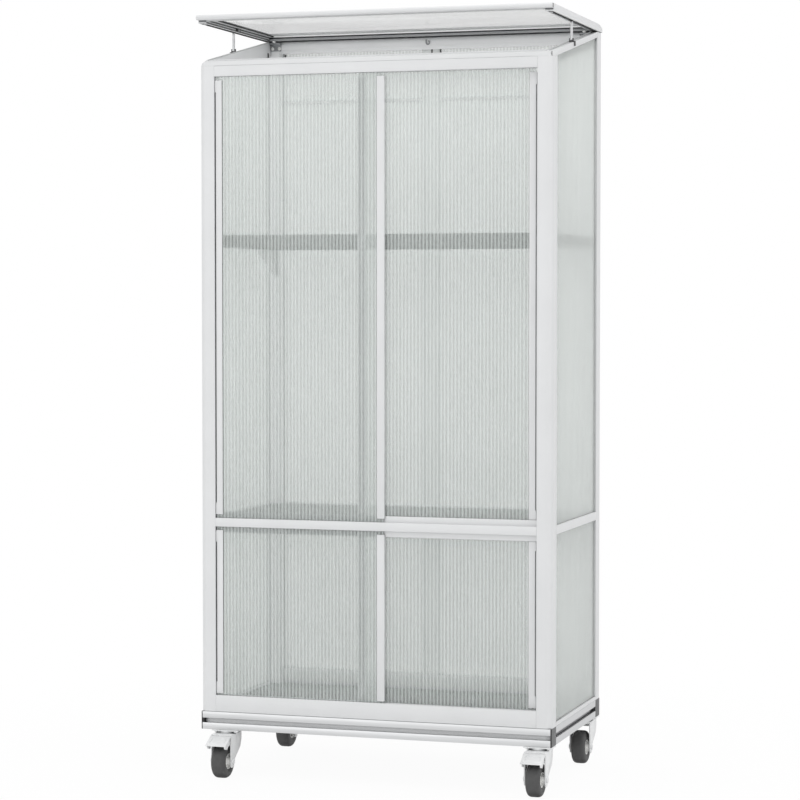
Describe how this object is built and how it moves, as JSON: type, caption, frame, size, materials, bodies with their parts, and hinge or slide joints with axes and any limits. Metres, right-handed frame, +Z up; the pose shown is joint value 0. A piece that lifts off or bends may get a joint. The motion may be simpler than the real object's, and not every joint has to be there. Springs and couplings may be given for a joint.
{
  "type": "balcony greenhouse",
  "caption": "Tall glazed balcony cabinet with sliding doors, a shelf, two floors, a sloping roof frame with a vent lid on stays, and swivel castors.",
  "frame": {"origin": "centre of the object's footprint box at floor level, lid open and castors trailing to the front", "axes": "+Z up, doors face -Y, +X to the right of a viewer facing the doors"},
  "size_m": [0.803, 0.508, 1.6789],
  "materials": {
    "coated_frame": "satin pale grey powder coat on aluminium profile",
    "slot_bar": "matt silver anodised",
    "dark_plastic": "moulded",
    "floor_sheet": "matt grey coat",
    "shelf_sheet": "satin grey coat",
    "twin_wall": "translucent ribbed twin-wall polycarbonate",
    "lid_sheet": "clear sheet",
    "rubber": "matt black extruded seal",
    "bright_steel": "zinc plated",
    "white_steel": "bright zinc and white coat on pressed steel",
    "wheel_plastic": "moulded",
    "tyre": "grey rubber tread"
  },
  "bodies": {
    "cabinet": {"base_long_bars": "slot_bar", "base_side_bars": "slot_bar", "base_end_caps": "dark_plastic", "base_corner_brackets": "slot_bar", "bottom_floor": "floor_sheet", "front_left_post": "coated_frame", "front_right_post": "coated_frame", "rear_left_post": "coated_frame", "rear_right_post": "coated_frame", "front_bottom_rail": "coated_frame", "front_mid_rail": "coated_frame", "front_header_rail": "coated_frame", "side_sills": "coated_frame", "side_mid_rails": "coated_frame", "roof_front_rail": "coated_frame", "roof_side_rails": "coated_frame", "roof_seal": "rubber", "rear_rails": "coated_frame", "rear_mullion": "coated_frame", "rear_panels": "twin_wall", "rear_joint_strip": "coated_frame", "rear_hook": "bright_steel", "side_panels": "twin_wall", "mid_floor": "floor_sheet", "shelf": "shelf_sheet", "shelf_supports": "shelf_sheet", "hinge_frame_leaves": "bright_steel", "hinge_pins": "bright_steel", "stay_saddles": "dark_plastic", "castor_plates": "white_steel"},
    "upper_left_door": {"upper_left_leaf_panel": "twin_wall", "upper_left_leaf_stiles": "coated_frame"},
    "upper_right_door": {"upper_right_leaf_panel": "twin_wall", "upper_right_leaf_stiles": "coated_frame"},
    "lower_left_door": {"lower_left_leaf_panel": "twin_wall", "lower_left_leaf_stiles": "coated_frame"},
    "lower_right_door": {"lower_right_leaf_panel": "twin_wall", "lower_right_leaf_stiles": "coated_frame"},
    "lid": {"lid_cross_rails": "coated_frame", "lid_side_rails": "coated_frame", "lid_pane": "lid_sheet", "lid_gasket": "rubber", "lid_fittings": "bright_steel", "hinge_lid_leaves": "bright_steel"},
    "left_stay_arm": {"left_stay": "bright_steel"},
    "right_stay_arm": {"right_stay": "bright_steel"},
    "front_left_castor": {"front_left_fork": "white_steel"},
    "front_left_wheel_body": {"front_left_wheel": "wheel_plastic", "front_left_tyre": "tyre"},
    "front_left_brake": {"front_left_pedal": "white_steel"},
    "front_right_castor": {"front_right_fork": "white_steel"},
    "front_right_wheel_body": {"front_right_wheel": "wheel_plastic", "front_right_tyre": "tyre"},
    "front_right_brake": {"front_right_pedal": "white_steel"},
    "rear_left_castor": {"rear_left_fork": "white_steel"},
    "rear_left_wheel_body": {"rear_left_wheel": "wheel_plastic", "rear_left_tyre": "tyre"},
    "rear_right_castor": {"rear_right_fork": "white_steel"},
    "rear_right_wheel_body": {"rear_right_wheel": "wheel_plastic", "rear_right_tyre": "tyre"}
  },
  "joints": [
    {"name": "upper_left_door_slide", "type": "slide", "parent": "cabinet", "child": "upper_left_door", "axis": [1, 0, 0], "range_m": [0, 0.34]},
    {"name": "upper_right_door_slide", "type": "slide", "parent": "cabinet", "child": "upper_right_door", "axis": [1, 0, 0], "range_m": [-0.328, 0]},
    {"name": "lower_left_door_slide", "type": "slide", "parent": "cabinet", "child": "lower_left_door", "axis": [1, 0, 0], "range_m": [0, 0.34]},
    {"name": "lower_right_door_slide", "type": "slide", "parent": "cabinet", "child": "lower_right_door", "axis": [1, 0, 0], "range_m": [-0.328, 0]},
    {"name": "lid_tilt", "type": "hinge", "parent": "cabinet", "child": "lid", "pos_m": [0, 0.2072, 1.6574], "axis": [1, 0, 0], "range_deg": [0, 11.31]},
    {"name": "left_stay_fold", "type": "hinge", "parent": "cabinet", "child": "left_stay_arm", "pos_m": [-0.3935, -0.00898, 1.6213], "axis": [1, 0, 0], "range_deg": [0, 101.36]},
    {"name": "right_stay_fold", "type": "hinge", "parent": "cabinet", "child": "right_stay_arm", "pos_m": [0.3935, -0.00898, 1.6213], "axis": [1, 0, 0], "range_deg": [0, 101.36]},
    {"name": "front_left_castor_swivel", "type": "hinge", "parent": "cabinet", "child": "front_left_castor", "pos_m": [-0.345, -0.178, 0.0962], "axis": [0, 0, 1], "continuous": true},
    {"name": "front_left_wheel_spin", "type": "hinge", "parent": "front_left_castor", "child": "front_left_wheel_body", "pos_m": [-0.345, -0.21, 0.0375], "axis": [1, 0, 0], "continuous": true},
    {"name": "front_left_brake_press", "type": "hinge", "parent": "front_left_castor", "child": "front_left_brake", "pos_m": [-0.345, -0.186, 0.08385], "axis": [1, 0, 0], "range_deg": [-8, 5]},
    {"name": "front_right_castor_swivel", "type": "hinge", "parent": "cabinet", "child": "front_right_castor", "pos_m": [0.369, -0.178, 0.0962], "axis": [0, 0, 1], "continuous": true},
    {"name": "front_right_wheel_spin", "type": "hinge", "parent": "front_right_castor", "child": "front_right_wheel_body", "pos_m": [0.369, -0.21, 0.0375], "axis": [1, 0, 0], "continuous": true},
    {"name": "front_right_brake_press", "type": "hinge", "parent": "front_right_castor", "child": "front_right_brake", "pos_m": [0.369, -0.186, 0.08385], "axis": [1, 0, 0], "range_deg": [-8, 5]},
    {"name": "rear_left_castor_swivel", "type": "hinge", "parent": "cabinet", "child": "rear_left_castor", "pos_m": [-0.345, 0.232, 0.0962], "axis": [0, 0, 1], "continuous": true},
    {"name": "rear_left_wheel_spin", "type": "hinge", "parent": "rear_left_castor", "child": "rear_left_wheel_body", "pos_m": [-0.345, 0.2, 0.0375], "axis": [1, 0, 0], "continuous": true},
    {"name": "rear_right_castor_swivel", "type": "hinge", "parent": "cabinet", "child": "rear_right_castor", "pos_m": [0.369, 0.232, 0.0962], "axis": [0, 0, 1], "continuous": true},
    {"name": "rear_right_wheel_spin", "type": "hinge", "parent": "rear_right_castor", "child": "rear_right_wheel_body", "pos_m": [0.369, 0.2, 0.0375], "axis": [1, 0, 0], "continuous": true}
  ],
  "couplings": [
    {"joint": "left_stay_fold", "follows": "lid_tilt", "ratio": 8.9576},
    {"joint": "right_stay_fold", "follows": "lid_tilt", "ratio": 8.9576}
  ]
}
